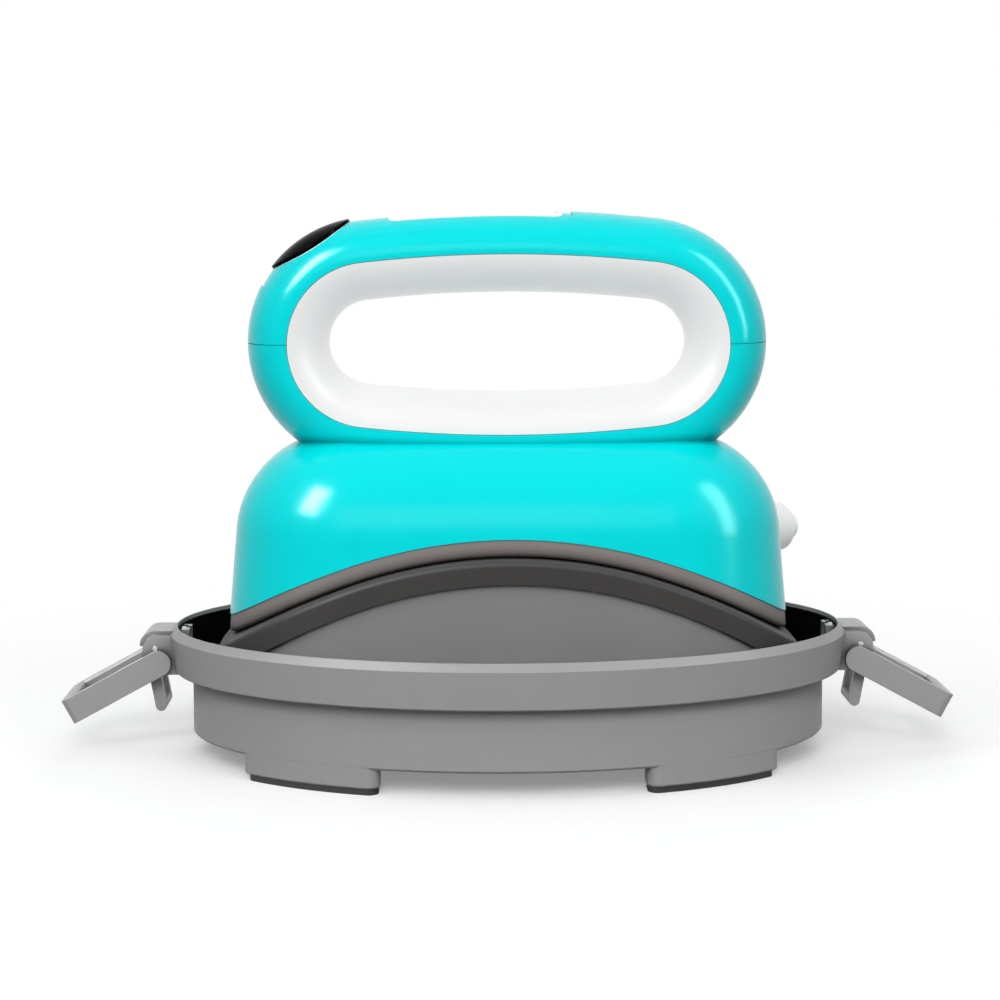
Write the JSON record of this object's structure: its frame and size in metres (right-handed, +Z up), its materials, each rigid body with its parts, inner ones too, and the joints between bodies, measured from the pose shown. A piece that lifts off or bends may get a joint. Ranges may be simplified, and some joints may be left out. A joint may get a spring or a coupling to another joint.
{
  "type": "cap heat press",
  "caption": "Hand-held cap heat press with a loop handle on a domed body, resting on an arched stand in an oval tray with a swinging latch at each end.",
  "frame": {"origin": "centre of the base on the surface that it stands on", "axes": "+Z up, -Y towards the front, +X to the right along the handle, where the cord gland is"},
  "size_m": [0.283, 0.15, 0.173],
  "materials": {
    "base_grey": "satin moulded plastic",
    "pad_grey": "matt heat-proof silicone",
    "shield_grey": "matt heat-proof plastic",
    "liner_black": "matt black plastic",
    "foot_rubber": "matt black rubber",
    "shell_teal": "gloss moulded plastic",
    "grip_white": "satin moulded plastic",
    "lens_black": "polished",
    "steel": "plated",
    "plate_metal": "satin",
    "element_foil": "insulating film",
    "insulation_wool": "pressed fibre",
    "circuit_green": "solder mask",
    "component_dark": "moulded cases"
  },
  "bodies": {
    "base": {"base_tray": "base_grey", "tray_liner": "liner_black", "stand_dome": "base_grey", "stand_pad": "pad_grey", "foot_pads": "foot_rubber", "stand_screws": "steel", "latch_bracket_left": "base_grey", "latch_clamp_left": "base_grey", "latch_pin_left": "steel", "latch_stop_left": "steel", "latch_screw_left": "steel", "latch_bracket_right": "base_grey", "latch_clamp_right": "base_grey", "latch_pin_right": "steel", "latch_stop_right": "steel", "latch_screw_right": "steel"},
    "press": {"body_shell": "shell_teal", "heat_shield_skirt": "shield_grey", "heat_plate": "plate_metal", "heating_element": "element_foil", "insulation_pad": "insulation_wool", "heat_reflector": "plate_metal", "temperature_sensor": "component_dark", "thermal_fuse": "component_dark", "power_board": "circuit_green", "power_relay": "component_dark", "transformer": "component_dark", "terminal_block": "component_dark", "cord_gland": "grip_white", "plate_screws": "steel", "body_screws": "steel", "board_screws": "steel", "handle_screws": "steel", "handle_upper_shell": "shell_teal", "handle_lower_shell": "shell_teal", "grip_liner_front": "grip_white", "grip_liner_rear": "grip_white", "display_lens": "lens_black", "display_board": "circuit_green", "control_panel": "grip_white", "key_board": "circuit_green", "key_switches": "component_dark", "buzzer": "component_dark"},
    "key_1": {"key_1": "grip_white"},
    "key_2": {"key_2": "grip_white"},
    "key_3": {"key_3": "grip_white"},
    "lever_left": {"latch_lever_left": "base_grey"},
    "bail_left": {"latch_bail_left": "base_grey"},
    "lever_right": {"latch_lever_right": "base_grey"},
    "bail_right": {"latch_bail_right": "base_grey"}
  },
  "joints": [
    {"name": "press_lift", "type": "slide", "parent": "base", "child": "press", "axis": [0, 0, 1], "range_m": [0, 0.12]},
    {"name": "lever_left_hinge", "type": "hinge", "parent": "base", "child": "lever_left", "pos_m": [-0.1107, 0, 0.031], "axis": [0, 1, 0], "range_deg": [0, 112]},
    {"name": "bail_left_hinge", "type": "hinge", "parent": "base", "child": "bail_left", "pos_m": [-0.1107, 0, 0.031], "axis": [0, 1, 0], "range_deg": [-8, 100]},
    {"name": "lever_right_hinge", "type": "hinge", "parent": "base", "child": "lever_right", "pos_m": [0.1107, 0, 0.031], "axis": [0, -1, 0], "range_deg": [0, 112]},
    {"name": "bail_right_hinge", "type": "hinge", "parent": "base", "child": "bail_right", "pos_m": [0.1107, 0, 0.031], "axis": [0, -1, 0], "range_deg": [-8, 100]},
    {"name": "key_1_push", "type": "slide", "parent": "press", "child": "key_1", "axis": [0, 0, -1], "range_m": [0, 0.001], "stiffness_N_per_m": 400},
    {"name": "key_2_push", "type": "slide", "parent": "press", "child": "key_2", "axis": [0, 0, -1], "range_m": [0, 0.001], "stiffness_N_per_m": 400},
    {"name": "key_3_push", "type": "slide", "parent": "press", "child": "key_3", "axis": [0, 0, -1], "range_m": [0, 0.001], "stiffness_N_per_m": 400}
  ]
}
